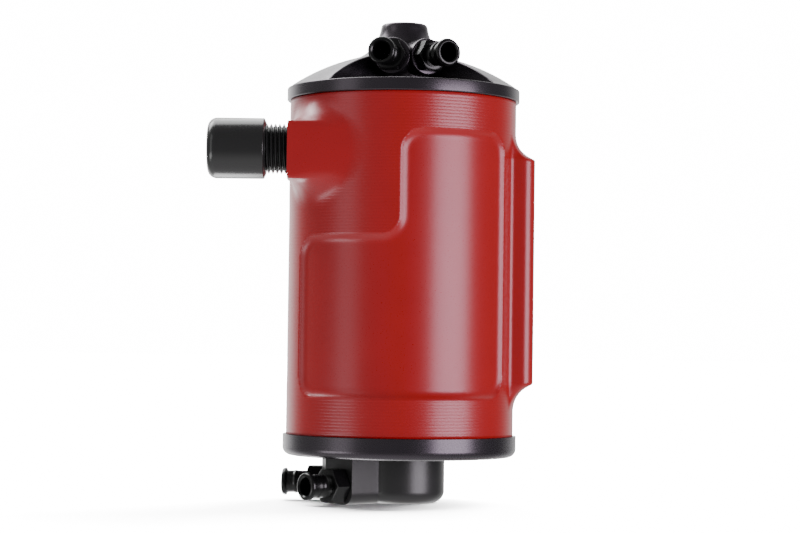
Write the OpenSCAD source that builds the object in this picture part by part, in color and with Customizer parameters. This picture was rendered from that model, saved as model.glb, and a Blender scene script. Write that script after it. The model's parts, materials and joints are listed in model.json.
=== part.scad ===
// Oil catch can, standing on its sump cup
// The origin is on the can's axis at the floor, +Z points up and -Y is the front

/* [Can body] */
// Outer diameter of the can
body_d = 99.2; // [96:0.2:110]
// Height of the can between its two end pieces
body_h = 145.7; // [140:0.1:200]
// Wall between the can's side and its bore
can_wall = 5.1; // [4.6:0.1:9]
// How far the threads in both ends are cut into that wall
thread_cut = 1.5; // [1:0.1:2.5]
// Length of the threads in both ends
thread_length = 12; // [10:0.5:14]

/* [Front pocket] */
// Depth of the milled pockets
pocket_depth = 1.8; // [0.8:0.1:2]
// Left edge of the front pocket, in degrees right of the front
pocket_left_angle = -61; // [-66:1:-50]
// Right edge of the front pocket, in degrees right of the front
pocket_right_angle = 61.7; // [50:0.1:64]
// Left edge of the pocket's tall part, in degrees right of the front
pocket_step_angle = -1; // [-10:1:10]
// Height of the pocket's lower edge above the can's lower end
pocket_low = 16.5; // [14:0.1:24]
// Distance of the wide part's upper edge below the side port's axis
pocket_under_port = 36.6; // [34:0.1:60]
// Distance of the pocket's upper edge below the can's upper end
pocket_below_top = 15.5; // [13:0.1:24]
// Radius of the pocket's corners
pocket_corner = 10; // [6:0.5:12]
// Radius of the inside corner where the pocket steps up
pocket_inner_corner = 8; // [5:0.5:10]

/* [Rear pocket] */
// Right edge of the rear pocket, in degrees left of the front
rear_start_angle = 84; // [80:1:90]
// Far edge of the rear pocket, in degrees left of the front
rear_end_angle = 158; // [130:1:165]
// Distance of the rear pocket's upper edge below the can's upper end
rear_below_top = 38.6; // [35:0.1:70]

/* [Side port] */
// Diameter of the port boss
boss_d = 24.6; // [24:0.1:27]
// How far the boss face lies inside the can's side
boss_inset = 0.7; // [0:0.1:1.5]
// Distance of the port's axis behind the can's front
port_behind = 20.8; // [19.5:0.1:24]
// Distance of the port's axis below the can's upper end
port_below_top = 23.6; // [23.2:0.1:26]
// Radius of the blend between the boss and the can
boss_blend = 13; // [8:0.5:14]
// How deep the blend starts below the can's surface
boss_sink = 2.6; // [1:0.1:4]
// Direction where the boss runs out on the can, in degrees forward of the left
boss_end_angle = 66; // [60:1:72]
// Major diameter of the port's thread
port_thread_d = 21.3; // [20:0.1:21.6]

/* [Mounting pad] */
// How far the pad's face stands out from the can's side
pad_stand = 7.9; // [6.5:0.1:10.5]
// Distance of the pad's upper end below the can's upper end
pad_below_top = 25.6; // [23:0.1:40]
// Height of the pad's lower end above the can's lower end
pad_low = 22.7; // [20:0.1:26]
// Width of the flat face between its rounded edges
pad_flat_w = 24; // [20:0.5:30]
// Radius of the pad's long edges
pad_edge = 5.2; // [3:0.1:6]
// Radius of the blend from the pad into the can
pad_blend = 13; // [9:0.5:14]
// Distance between the two tapped holes
pad_hole_pitch = 60; // [40:1:70]
// Diameter of the tapped holes
pad_hole_d = 5; // [4.2:0.1:6.8]
// Depth of the tapped holes
pad_hole_depth = 10; // [6:0.5:11]

/* [Lid] */
// How far the lid and the base plate stand out from the can's side
end_overhang = 1.4; // [0.5:0.1:4]
// Height of the straight rim round the lid
lid_rim_h = 5; // [4:0.1:8]
// Radius of the dome
dome_r = 88; // [80:1:110]
// Radius of the hollow sweep between the dome and the hub
flare_r = 17; // [14:0.5:20]
// Radius of the hub
hub_r = 10.2; // [9.8:0.1:11.4]
// Height of the hub's top above the rim's upper edge
hub_up = 29.4; // [28:0.1:31]
// Chamfer round the hub's top
hub_chamfer = 1.3; // [0.5:0.1:2]
// Direction midway between the two top ports, in degrees right of the front
top_ports_angle = 7.5; // [-20:0.5:20]
// Angle between two neighbouring hose ports
port_spread_angle = 45; // [42:1:50]
// Distance of the top port faces from the can's axis
top_face = 20.5; // [20:0.1:23]
// Diameter of the round bosses that carry the top ports
top_boss_d = 16; // [15:0.1:17]
// Height of the top ports above the rim's upper edge
top_port_up = 13.2; // [12.5:0.1:14]
// Radius of the neck that the notch leaves round the hub's chamber
neck_r = 13.5; // [12.5:0.1:14.5]
// Direction of the middle of the notch, in degrees right of the front
notch_angle = 5; // [-10:0.5:12]
// Half of the angle between the notch's walls
notch_half_angle = 42; // [38:0.5:44]
// Distance of the notch's walls from the can's axis
notch_offset = 1.8; // [1.4:0.1:4]
// Height of the notch's floor above the rim's upper edge
notch_floor = 0.3; // [0.2:0.1:2]
// Thickness of the lid's top plate below the notch
lid_plate_t = 4.5; // [3.5:0.1:6]
// Gap between the end of a threaded spigot and the end of the can's thread
spigot_gap = 1; // [0.5:0.1:3]
// Wall of the spigots
spigot_wall = 3.6; // [3:0.1:5]
// Diameter of the chamber in the hub
chamber_d = 11; // [9:0.1:12]

/* [Base plate] */
// Height of the base plate's edge
base_h = 9.1; // [8:0.1:12]
// Radius of the base plate's lower edge
base_edge = 3.5; // [1:0.1:4]
// Thickness of the base plate's floor
base_floor_t = 5.7; // [5:0.1:6.5]

/* [Sump cup] */
// Height of the sump cup
cup_h = 20.2; // [19.5:0.1:28]
// Diameter of the sump cup
cup_d = 40; // [39:0.1:44]
// Radius round the bottom of the cup
cup_edge = 5.3; // [3:0.1:5.6]
// Diameter of the well in the cup
well_d = 22; // [20:0.1:22.4]
// Thickness of the cup's bottom
cup_bottom_t = 3.6; // [3:0.1:4]
// Direction midway between the two drain ports, in degrees forward of the left
drain_angle = 16.5; // [0:0.5:30]
// Distance of the drain port faces from the can's axis
drain_face = 32.5; // [31:0.1:36]
// Width of each drain port face
drain_face_w = 17.2; // [16.8:0.1:19]
// Height of the drain ports above the floor
drain_up = 8; // [7.8:0.1:9]
// Number of screws that hold the cup
cup_screw_count = 6; // [4:1:8]
// Radius of the circle of cup screws
cup_screw_circle = 16.5; // [16.2:0.1:17]
// Length of the cup screws' thread in the cup
cup_screw_bite = 6; // [4:0.1:7]
// Bore from a drain port into the well
drain_bore_d = 7; // [5:0.1:8]
// How far the facet between the drain ports cuts off their corner
drain_facet = 1.3; // [0.8:0.1:2]

/* [Hose nipples] */
// Outer diameter of the hose tube
tube_d = 9.7; // [9:0.1:10.6]
// Bore of the nipples
nipple_bore_d = 7.8; // [6.5:0.1:8]
// Outer diameter of the bead at the tip
bead_d = 12; // [11.4:0.1:12.6]
// Diameter of the second ridge
ridge_d = 11; // [10.8:0.1:11.4]
// Length of a top nipple from its hexagon to its tip
top_tube_len = 12.4; // [11:0.1:16]
// Length of a drain nipple from its hexagon to its tip
drain_tube_len = 11.4; // [10.5:0.1:16]
// Width across flats of the top nipples
top_hex_af = 12.7; // [12:0.1:14]
// Length of the top nipples' hexagon
top_hex_len = 5.5; // [5:0.1:8]
// Width across flats of the drain nipples
drain_hex_af = 14.3; // [14:0.1:15.2]
// Length of the drain nipples' hexagon
drain_hex_len = 7.4; // [6:0.1:10]
// Thread diameter of the top nipples
top_thread_d = 10.2; // [9.6:0.1:10.4]
// Thread diameter of the drain nipples
drain_thread_d = 11; // [10.4:0.1:11.2]
// Length of thread inside each port
port_depth = 6.8; // [5:0.1:7]
// Length of the bead at the tip
bead_len = 2.4; // [2:0.1:3]
// Length of the slope behind the bead
bead_slope = 0.5; // [0.3:0.1:0.8]
// Rounding at the tip
tip_round = 0.6; // [0.3:0.1:0.8]
// Distance of the second ridge's back from the tip
ridge_from_tip = 6.8; // [5.5:0.1:8]
// Length of the second ridge
ridge_len = 1.6; // [1.2:0.1:2]
// Width of the second ridge's top
ridge_land = 0.6; // [0.3:0.1:0.9]
// Length of the second ridge's rear slope
ridge_slope = 0.3; // [0.2:0.1:0.5]

/* [Side plug] */
// Diameter of the plug's head
plug_d = 26; // [24:0.1:30]
// Length of the plug's head
plug_head_l = 25; // [18:0.1:40]
// Radius round the plug's outer end
plug_edge = 4; // [2:0.1:5]
// How far the chamfer at the head's inner end cuts in towards the axis
plug_chamfer = 2; // [1:0.1:2.3]
// Length of that chamfer along the axis
plug_chamfer_l = 0.9; // [0.5:0.1:2]
// Length of thread that shows between the head and the boss
plug_gap = 9.3; // [4:0.1:12]
// Length of thread inside the boss
plug_engaged = 11.3; // [9:0.1:12]

/* [Separator] */
// Outer diameter of the outlet tube
outlet_d = 16; // [14:0.1:17]
// Bore of the outlet tube
outlet_bore_d = 12.6; // [10:0.1:13]
// Length of the outlet tube below the nut of the mesh stack
outlet_past_nut = 8; // [4:0.5:12]
// Length of the tube's thread in the lid
outlet_seat = 8; // [6:0.1:9]
// Diameter of the collar that stops the mesh stack
collar_d = 22; // [20:0.1:26]
// Height of that collar
collar_h = 3; // [2:0.1:5]
// Distance of the collar below the lid's rim
collar_drop = 44; // [40:1:48]
// Height of the mesh pack
mesh_h = 50; // [30:1:54]
// Thickness of the mesh plates and of the drain baffle
plate_t = 2; // [1.5:0.1:2.5]
// Holes in each row of a mesh plate
plate_holes = 16; // [12:1:20]
// Diameter of the holes in the mesh plates
plate_hole_d = 5; // [4:0.1:5.4]
// Radius of the inner row of those holes
plate_row_r = 18.8; // [17.6:0.1:20]
// Distance of the outer row from the plate's edge
plate_rim = 5.8; // [4:0.1:10]
// Width across flats of the nut below the mesh stack
nut_af = 24; // [22:0.1:28]
// Height of that nut
nut_h = 6; // [4:0.1:8]

/* [Drain baffle] */
// Gap between the drain baffle and the base plate's spigot
baffle_gap = 4.3; // [2:0.1:9]
// Height of the posts below the baffle
post_h = 10; // [8:0.1:14]
// Diameter of the posts
post_d = 8; // [7:0.1:10]
// Distance of the posts' centres from the baffle's edge
post_inset = 8; // [6:0.5:10]
// Number of posts
post_count = 3; // [3:1:4]
// Length of the baffle screws' thread in the base plate
screw_bite = 4.2; // [3:0.1:4.4]
// Number of drain holes in the baffle
baffle_holes = 9; // [6:1:12]
// Diameter of the drain holes
baffle_hole_d = 6; // [4:0.1:8]

/* [Small hardware] */
// Section of the O-rings in the two ends of the can
seal_section = 2.4; // [2:0.1:2.6]
// Land between those O-rings' grooves and the ends of the can
seal_land = 1.2; // [1:0.1:2]
// Section of the O-ring between the sump cup and the base plate
small_section = 1.5; // [1.3:0.1:1.6]
// Land between that O-ring and the well
small_land = 0.9; // [0.7:0.05:1]
// Section of the O-rings under the nipples
nipple_section = 1; // [0.8:0.1:1.1]
// Thread diameter of the cup screws
cup_screw_d = 3; // [2.5:0.1:3.2]
// Head diameter of the cup screws
cup_screw_head_d = 5.5; // [5:0.1:5.8]
// Head height of the cup screws
cup_screw_head_h = 3; // [2:0.1:3.2]
// Thread diameter of the baffle screws
baffle_screw_d = 4; // [3:0.1:4.5]
// Head diameter of the baffle screws
baffle_screw_head_d = 7; // [6:0.1:8]
// Head height of the baffle screws
baffle_screw_head_h = 2.6; // [2:0.1:3.5]
// Depth of a screw's hexagon socket as a share of its head's height
socket_depth_share = 0.6; // [0.4:0.05:0.7]
// Width of a screw's hexagon socket as a share of its thread's diameter
socket_width_share = 0.95; // [0.8:0.01:1]
// Clearance round threads and pieces that are pushed in
fit_gap = 0.1; // [0.05:0.01:0.2]
// Clearance round the plug's thread, which turns
turn_gap = 0.05; // [0.03:0.01:0.08]
// Clearance beside an O-ring in its groove
seal_gap = 0.05; // [0.03:0.01:0.1]
// Clearance of a screw in a plain hole
hole_gap = 0.3; // [0.2:0.05:0.4]

/* [Hidden] */
$fn = 96;

red = [0.62, 0.15, 0.14];
black = [0.09, 0.09, 0.1];
steel = [0.72, 0.73, 0.75];
rubber = [0.05, 0.05, 0.05];

eps = 0.01;
// How far an arc runs past the surface or edge that it meets
dip = 0.03;
body_r = body_d / 2;
bore_r = body_r - can_wall;
end_r = body_r + end_overhang;
thread_r = bore_r + thread_cut;
spigot_r = thread_r - fit_gap;
spigot_inner_r = spigot_r - spigot_wall;
spigot_h = thread_length - spigot_gap;

body_z = cup_h + base_h;
lid_z = body_z + body_h;
rim_z = lid_z + lid_rim_h;
hub_z = rim_z + hub_up;
floor_z = cup_h + base_floor_t;

port_z = lid_z - port_below_top;
port_forward = body_r - port_behind;
port_inner = body_r / 3;
boss_reach = body_r - boss_inset;
pocket_z = body_z + pocket_low;
pocket_wide_z = port_z - pocket_under_port;
pocket_top_z = lid_z - pocket_below_top;
rear_top_z = lid_z - rear_below_top;
pad_reach = body_r + pad_stand;
pad_z = body_z + pad_low;
pad_top_z = lid_z - pad_below_top;
pad_mid_z = (pad_z + pad_top_z) / 2;

// Height of the dome's centre: the dome meets the rim's upper edge
dome_z = rim_z - sqrt(dome_r * dome_r - end_r * end_r);
flare_x = hub_r + flare_r;
flare_z = dome_z + sqrt(pow(dome_r + flare_r, 2) - flare_x * flare_x);
ceiling_z = rim_z + notch_floor - lid_plate_t;
chamber_r = chamber_d / 2;
top_port_z = rim_z + top_port_up;
outlet_r = outlet_d / 2;
collar_z = rim_z - collar_drop;
upper_plate_z = collar_z - plate_t;
mesh_z = upper_plate_z - mesh_h;
lower_plate_z = mesh_z - plate_t;
nut_z = lower_plate_z - nut_h;
outlet_low_z = nut_z - outlet_past_nut;
mesh_r = bore_r - hole_gap;
plate_row_pitch = (mesh_r - plate_rim - plate_row_r) / 2;
baffle_z = floor_z + post_h;
baffle_r = spigot_inner_r - baffle_gap;
post_circle = baffle_r - post_inset;

seal_groove_h = seal_section + 4 * seal_gap;
seal_groove_depth = seal_section + 2 * seal_gap - fit_gap;
seal_r = thread_r - seal_section / 2 - seal_gap;
lid_seal_z = lid_z - seal_groove_h / 2 - seal_land;
base_seal_z = body_z + seal_groove_h / 2 + seal_land;

cup_r = cup_d / 2;
well_r = well_d / 2;
sump_seal_r = well_r + small_section / 2 + small_land;

// Angles as seen from above: 0 is +X and 90 is +Y
function right_of_front(a) = a - 90;
function forward_of_left(a) = 180 + a;
function unit(a) = [cos(a), sin(a)];

left_top_a = right_of_front(top_ports_angle - port_spread_angle / 2);
right_top_a = right_of_front(top_ports_angle + port_spread_angle / 2);
front_drain_a = forward_of_left(drain_angle + port_spread_angle / 2);
rear_drain_a = forward_of_left(drain_angle - port_spread_angle / 2);

// Point where two lines meet, each given by its normal's angle and its distance from the axis
function meet(a1, d1, a2, d2) =
    let (det = sin(a2 - a1))
    [(d1 * sin(a2) - d2 * sin(a1)) / det, (d2 * cos(a1) - d1 * cos(a2)) / det];

// A wedge between two angles and two heights
module wedge(a1, a2, z1, z2) {
    near = body_r / 2;
    far = 2 * end_r;
    translate([0, 0, z1])
        linear_extrude(z2 - z1)
            polygon([near * unit(a1), far * unit(a1), far * unit((a1 + a2) / 2), far * unit(a2),
                     near * unit(a2)]);
}

// A round bar along a radius, which rounds a pocket's corner
module radial_bar(r, a, z) {
    translate([0, 0, z])
        rotate([0, 90, a])
            translate([0, 0, body_r * 0.6])
                cylinder(h = end_r, r = r);
}

// Everything outside a pocket's floor
module pocket_shell() {
    translate([0, 0, body_z - 1])
        difference() {
            cylinder(h = body_h + 2, r = end_r);
            translate([0, 0, -1])
                cylinder(h = body_h + 4, r = body_r - pocket_depth);
        }
}

// The outline of a pocket with four rounded corners, as seen from the can's axis
module pocket_outline(a1, a2, z1, z2) {
    turn = asin(pocket_corner / body_r);
    difference() {
        wedge(a1, a2, z1, z2);
        for (i = [0, 1], j = [0, 1]) {
            a = i == 0 ? a1 + turn : a2 - turn;
            z = j == 0 ? z1 + pocket_corner : z2 - pocket_corner;
            difference() {
                wedge(i == 0 ? a1 - 1 : a, i == 0 ? a : a2 + 1, j == 0 ? z1 - 1 : z,
                      j == 0 ? z : z2 + 1);
                radial_bar(pocket_corner + dip, a, z);
            }
        }
    }
}

// The rounded corner inside the front pocket's step
module pocket_step_corner() {
    turn = asin(pocket_inner_corner / body_r);
    a = right_of_front(pocket_step_angle);
    z = pocket_wide_z + pocket_inner_corner;
    difference() {
        wedge(a - turn, a + 1, pocket_wide_z - 1, z);
        radial_bar(pocket_inner_corner + dip, a - turn, z);
    }
}

module front_pocket() {
    a1 = right_of_front(pocket_left_angle);
    a2 = right_of_front(pocket_right_angle);
    intersection() {
        pocket_shell();
        union() {
            pocket_outline(a1, a2, pocket_z, pocket_wide_z);
            pocket_outline(right_of_front(pocket_step_angle), a2, pocket_z + pocket_corner,
                           pocket_top_z);
            pocket_step_corner();
        }
    }
}

module rear_pocket() {
    intersection() {
        pocket_shell();
        pocket_outline(right_of_front(-rear_end_angle), right_of_front(-rear_start_angle),
                       pocket_z, rear_top_z);
    }
}

// Side view of the pad: its ends sweep into the can
module pad_side() {
    run = sqrt(pow(pad_blend, 2) - pow(pad_blend - (pad_reach - body_r), 2));
    difference() {
        translate([0, pad_z - run])
            square([pad_reach, pad_top_z - pad_z + 2 * run]);
        for (z = [pad_z - run, pad_top_z + run])
            translate([body_r + pad_blend - dip, z])
                circle(r = pad_blend);
    }
}

// Plan of the pad: rounded long edges that sweep into the can
module pad_plan() {
    edge_x = pad_reach - pad_edge;
    edge_y = pad_flat_w / 2;
    reach = body_r + pad_blend - dip;
    span = norm([edge_x, edge_y]);
    lean = atan2(edge_y, edge_x);
    swing = acos((span * span + reach * reach - pow(pad_edge + pad_blend, 2)) / (2 * span * reach));
    sweep = reach * unit(lean + swing);
    difference() {
        polygon([[0, 0], [sweep[0], -sweep[1]], [edge_x, -edge_y], [pad_reach, -edge_y],
                 [pad_reach, edge_y], [edge_x, edge_y], sweep]);
        for (s = [-1, 1])
            translate([sweep[0], s * sweep[1]])
                circle(r = pad_blend);
    }
    for (s = [-1, 1])
        translate([edge_x, s * edge_y])
            circle(r = pad_edge);
}

module pad_solid() {
    intersection() {
        linear_extrude(lid_z)
            pad_plan();
        rotate([90, 0, 0])
            translate([0, 0, -end_r])
                linear_extrude(2 * end_r)
                    pad_side();
    }
}

// Places something along the port's axis, with Z pointing out of the can
module at_port() {
    translate([0, -port_forward, port_z])
        rotate([0, -90, 0])
            children();
}

// The port's boss with its sweep into the can: the sweep turns round the can's radius at the port
module boss_solid() {
    aim = asin(port_forward / body_r);
    sweep_u = body_r + boss_blend - boss_sink;
    at_port()
        translate([0, 0, port_inner])
            cylinder(h = boss_reach - port_inner, r = boss_d / 2);
    intersection() {
        translate([0, 0, port_z])
            rotate([0, 90, forward_of_left(aim)])
                rotate_extrude()
                    difference() {
                        translate([0, bore_r])
                            square([boss_d / 2 + boss_blend - dip, sweep_u - bore_r]);
                        translate([boss_d / 2 + boss_blend, sweep_u])
                            circle(r = boss_blend);
                    }
        translate([0, 0, body_z])
            linear_extrude(body_h)
                polygon([[0, 0], [-boss_reach, 0], [-boss_reach, -port_forward - boss_d / 2],
                         (body_r - dip) * unit(forward_of_left(boss_end_angle))]);
    }
}

module body() {
    color(red)
        difference() {
            union() {
                difference() {
                    translate([0, 0, body_z])
                        cylinder(h = body_h, r = body_r);
                    front_pocket();
                    rear_pocket();
                }
                boss_solid();
                pad_solid();
            }
            translate([0, 0, body_z - 1])
                cylinder(h = body_h + 2, r = bore_r);
            for (z = [body_z - 1, lid_z - thread_length])
                translate([0, 0, z])
                    cylinder(h = thread_length + 1, r = thread_r);
            at_port()
                translate([0, 0, port_inner])
                    cylinder(h = boss_reach, d = port_thread_d + 2 * turn_gap);
            for (s = [-1, 1])
                translate([pad_reach - pad_hole_depth, 0, pad_mid_z + s * pad_hole_pitch / 2])
                    rotate([0, 90, 0])
                        cylinder(h = pad_hole_depth + 1, d = pad_hole_d);
        }
}

// The groove for an O-ring round a spigot
module seal_groove(z) {
    difference() {
        translate([0, 0, z - seal_groove_h / 2])
            cylinder(h = seal_groove_h, r = spigot_r + 1);
        translate([0, 0, z - seal_groove_h / 2 - 1])
            cylinder(h = seal_groove_h + 2, r = spigot_r - seal_groove_depth);
    }
}

// The lid's section: rim, dome, hollow sweep and hub
module lid_section() {
    share = dome_r / (dome_r + flare_r);
    meet_x = flare_x * share;
    meet_z = dome_z + (flare_z - dome_z) * share;
    difference() {
        union() {
            translate([0, lid_z])
                square([end_r, lid_rim_h]);
            intersection() {
                translate([0, dome_z])
                    circle(r = dome_r);
                translate([0, rim_z - dip])
                    square([end_r, hub_up]);
            }
            polygon([[0, rim_z], [meet_x, rim_z], [meet_x, meet_z], [flare_x, flare_z],
                     [flare_x, flare_z + hub_up], [0, flare_z + hub_up]]);
        }
        translate([flare_x, flare_z])
            circle(r = flare_r + dip);
        translate([0, hub_z])
            square([end_r, hub_up * 2]);
        polygon([[hub_r - hub_chamfer - 1, hub_z + 1], [hub_r + flare_r, hub_z + 1],
                 [hub_r + flare_r, hub_z - hub_chamfer - flare_r], [hub_r, hub_z - hub_chamfer]]);
    }
}

// The notch's outline: two straight walls round the neck
module notch_plan() {
    far = 3 * end_r;
    left_a = right_of_front(notch_angle - notch_half_angle) - 90;
    right_a = right_of_front(notch_angle + notch_half_angle) + 90;
    apex = meet(left_a, notch_offset, right_a, notch_offset);
    difference() {
        polygon([apex, apex + far * unit(left_a + 90), far * unit(right_of_front(notch_angle)),
                 apex + far * unit(right_a - 90)]);
        circle(r = neck_r);
        rotate(right_of_front(notch_angle))
            translate([-2 * neck_r, -2 * neck_r])
                square([2 * neck_r, 4 * neck_r]);
    }
}

// A round hole along a port's axis, from a distance inwards
module port_hole(a, z, from, depth, d) {
    translate([0, 0, z])
        rotate([0, 90, a])
            translate([0, 0, from - depth])
                cylinder(h = depth + 1, d = d);
}

// The seat for a nipple's O-ring in a port's face
module seal_seat(a, z, from, thread_d) {
    port_hole(a, z, from, nipple_section + seal_gap, thread_d + 2 * nipple_section + 4 * seal_gap);
}

module lid() {
    color(black)
        difference() {
            union() {
                difference() {
                    rotate_extrude()
                        lid_section();
                    translate([0, 0, rim_z + notch_floor])
                        linear_extrude(hub_up * 2)
                            notch_plan();
                }
                for (a = [left_top_a, right_top_a])
                    translate([0, 0, top_port_z])
                        rotate([0, 90, a])
                            cylinder(h = top_face, d = top_boss_d);
                translate([0, 0, lid_z - spigot_h])
                    cylinder(h = spigot_h + 1, r = spigot_r);
            }
            translate([0, 0, lid_z - spigot_h - 1])
                cylinder(h = ceiling_z - lid_z + spigot_h + 1, r = spigot_inner_r);
            translate([0, 0, ceiling_z - 1])
                cylinder(h = top_port_z + chamber_r + 1 - ceiling_z, r = chamber_r);
            translate([0, 0, ceiling_z - 1])
                cylinder(h = outlet_seat + 1, r = outlet_r + fit_gap);
            for (a = [left_top_a, right_top_a]) {
                port_hole(a, top_port_z, top_face, port_depth, top_thread_d + 2 * fit_gap);
                port_hole(a, top_port_z, top_face, top_face, nipple_bore_d);
                seal_seat(a, top_port_z, top_face, top_thread_d);
            }
            seal_groove(lid_seal_z);
        }
}

module base_plate() {
    color(black)
        difference() {
            union() {
                rotate_extrude() {
                    translate([0, cup_h])
                        square([end_r - base_edge, base_h]);
                    translate([0, cup_h + base_edge])
                        square([end_r, base_h - base_edge]);
                    intersection() {
                        translate([end_r - base_edge, cup_h + base_edge])
                            circle(r = base_edge);
                        translate([0, cup_h])
                            square([end_r, base_h]);
                    }
                }
                translate([0, 0, body_z - 1])
                    cylinder(h = spigot_h + 1, r = spigot_r);
            }
            translate([0, 0, floor_z])
                cylinder(h = base_h + spigot_h, r = spigot_inner_r);
            translate([0, 0, cup_h - 1])
                cylinder(h = base_h, r = well_r);
            at_cup_screws() {
                translate([0, 0, cup_h - 1])
                    cylinder(h = base_h, d = cup_screw_d + 2 * hole_gap);
                translate([0, 0, floor_z - cup_screw_head_h - hole_gap])
                    cylinder(h = base_h, d = cup_screw_head_d + 2 * hole_gap);
            }
            at_posts()
                translate([0, 0, floor_z - screw_bite])
                    cylinder(h = screw_bite + 1, d = baffle_screw_d + 2 * fit_gap);
            seal_groove(base_seal_z);
        }
}

module at_cup_screws() {
    step = 360 / cup_screw_count;
    for (i = [0 : cup_screw_count - 1])
        rotate([0, 0, (i + 0.5) * step])
            translate([cup_screw_circle, 0, 0])
                children();
}

module at_posts() {
    for (i = [0 : post_count - 1])
        rotate([0, 0, (i + 0.5) * 360 / post_count])
            translate([post_circle, 0, 0])
                children();
}

// Plan of the block that carries the two drain ports
module drain_plan() {
    front_out = front_drain_a + 90;
    rear_out = rear_drain_a - 90;
    mid_a = forward_of_left(drain_angle);
    half = drain_face_w / 2;
    cut = drain_face / cos(port_spread_angle / 2) - drain_facet;
    polygon([[0, 0],
             half * unit(front_out),
             meet(front_out, half, front_drain_a, drain_face),
             meet(front_drain_a, drain_face, mid_a, cut),
             meet(mid_a, cut, rear_drain_a, drain_face),
             meet(rear_drain_a, drain_face, rear_out, half),
             half * unit(rear_out)]);
}

// Section across one drain port: its outer lower edge is rounded like the cup
module drain_side(side) {
    half = drain_face_w / 2;
    difference() {
        translate([side > 0 ? -cup_d : -half, 0])
            square([cup_d + half, cup_h]);
        difference() {
            translate([side > 0 ? half - cup_edge : -half - 1, -1])
                square([cup_edge + 1, cup_edge + 1]);
            translate([side * (half - cup_edge), cup_edge])
                circle(r = cup_edge);
        }
    }
}

module drain_prism(a, side) {
    rotate([90, 0, a + 90])
        linear_extrude(2 * cup_d)
            drain_side(side);
}

module drain_block() {
    intersection() {
        linear_extrude(cup_h)
            drain_plan();
        drain_prism(front_drain_a, 1);
        drain_prism(rear_drain_a, -1);
    }
}

module sump_cup() {
    color(black)
        difference() {
            union() {
                rotate_extrude() {
                    square([cup_r - cup_edge, cup_h]);
                    translate([0, cup_edge])
                        square([cup_r, cup_h - cup_edge]);
                    intersection() {
                        translate([cup_r - cup_edge, cup_edge])
                            circle(r = cup_edge);
                        square([cup_r, cup_h]);
                    }
                }
                drain_block();
            }
            translate([0, 0, cup_bottom_t])
                cylinder(h = cup_h, r = well_r);
            translate([0, 0, cup_h])
                rotate_extrude()
                    translate([sump_seal_r - small_section / 2 - seal_gap, -small_section - seal_gap])
                        square([small_section + 2 * seal_gap, small_section + 1]);
            at_cup_screws()
                translate([0, 0, cup_h - cup_screw_bite])
                    cylinder(h = cup_screw_bite + 1, d = cup_screw_d + 2 * fit_gap);
            for (a = [front_drain_a, rear_drain_a]) {
                port_hole(a, drain_up, drain_face, port_depth, drain_thread_d + 2 * fit_gap);
                port_hole(a, drain_up, drain_face, drain_face, drain_bore_d);
                seal_seat(a, drain_up, drain_face, drain_thread_d);
            }
        }
}

module o_ring(r, section, z) {
    color(rubber)
        translate([0, 0, z])
            rotate_extrude()
                translate([r, 0])
                    circle(d = section, $fn = 32);
}

module lid_seal() {
    o_ring(seal_r, seal_section, lid_seal_z);
}

module base_seal() {
    o_ring(seal_r, seal_section, base_seal_z);
}

module sump_seal() {
    o_ring(sump_seal_r, small_section, cup_h - small_section / 2 - seal_gap / 2);
}

// A socket head screw with its head's seat at z = 0 and its thread below
module cap_screw(d, len, head_d, head_h) {
    difference() {
        union() {
            translate([0, 0, -len])
                cylinder(h = len + eps, d = d);
            cylinder(h = head_h, d = head_d);
        }
        translate([0, 0, head_h * (1 - socket_depth_share)])
            cylinder(h = head_h, d = d * socket_width_share, $fn = 6);
    }
}

module sump_screws() {
    seat_z = floor_z - cup_screw_head_h - hole_gap;
    color(steel)
        at_cup_screws()
            translate([0, 0, seat_z])
                cap_screw(cup_screw_d, seat_z - cup_h + cup_screw_bite - hole_gap,
                          cup_screw_head_d, cup_screw_head_h);
}

module outlet_tube() {
    color(steel)
        difference() {
            union() {
                translate([0, 0, outlet_low_z])
                    cylinder(h = ceiling_z + outlet_seat - hole_gap - outlet_low_z, r = outlet_r);
                translate([0, 0, collar_z])
                    cylinder(h = collar_h, d = collar_d);
            }
            translate([0, 0, outlet_low_z - 1])
                cylinder(h = rim_z, d = outlet_bore_d);
        }
}

// A round plate with rows of holes and a hole for the outlet tube
module mesh_plate(z) {
    color(steel)
        translate([0, 0, z])
            difference() {
                cylinder(h = plate_t, r = mesh_r);
                translate([0, 0, -1])
                    cylinder(h = plate_t + 2, r = outlet_r + fit_gap);
                for (row = [0 : 2], i = [0 : plate_holes - 1])
                    rotate([0, 0, (i + row / 2) * 360 / plate_holes])
                        translate([plate_row_r + row * plate_row_pitch, 0, -1])
                            cylinder(h = plate_t + 2, d = plate_hole_d);
            }
}

module upper_mesh_plate() {
    mesh_plate(upper_plate_z);
}

module lower_mesh_plate() {
    mesh_plate(lower_plate_z);
}

module mesh_pack() {
    color([0.75, 0.72, 0.62])
        translate([0, 0, mesh_z])
            difference() {
                cylinder(h = mesh_h, r = mesh_r);
                translate([0, 0, -1])
                    cylinder(h = mesh_h + 2, r = outlet_r + fit_gap);
            }
}

module stack_nut() {
    color(steel)
        translate([0, 0, nut_z])
            difference() {
                cylinder(h = nut_h, d = nut_af / cos(30), $fn = 6);
                translate([0, 0, -1])
                    cylinder(h = nut_h + 2, r = outlet_r + fit_gap);
            }
}

module drain_baffle() {
    color(steel)
        translate([0, 0, baffle_z])
            difference() {
                cylinder(h = plate_t, r = baffle_r);
                translate([0, 0, -baffle_z])
                    at_posts()
                        translate([0, 0, baffle_z - 1])
                            cylinder(h = plate_t + 2, d = baffle_screw_d + 2 * hole_gap);
                for (i = [0 : baffle_holes - 1])
                    rotate([0, 0, (i + 0.5) * 360 / baffle_holes])
                        translate([post_circle - post_d - baffle_hole_d / 2, 0, -1])
                            cylinder(h = plate_t + 2, d = baffle_hole_d);
            }
}

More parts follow.
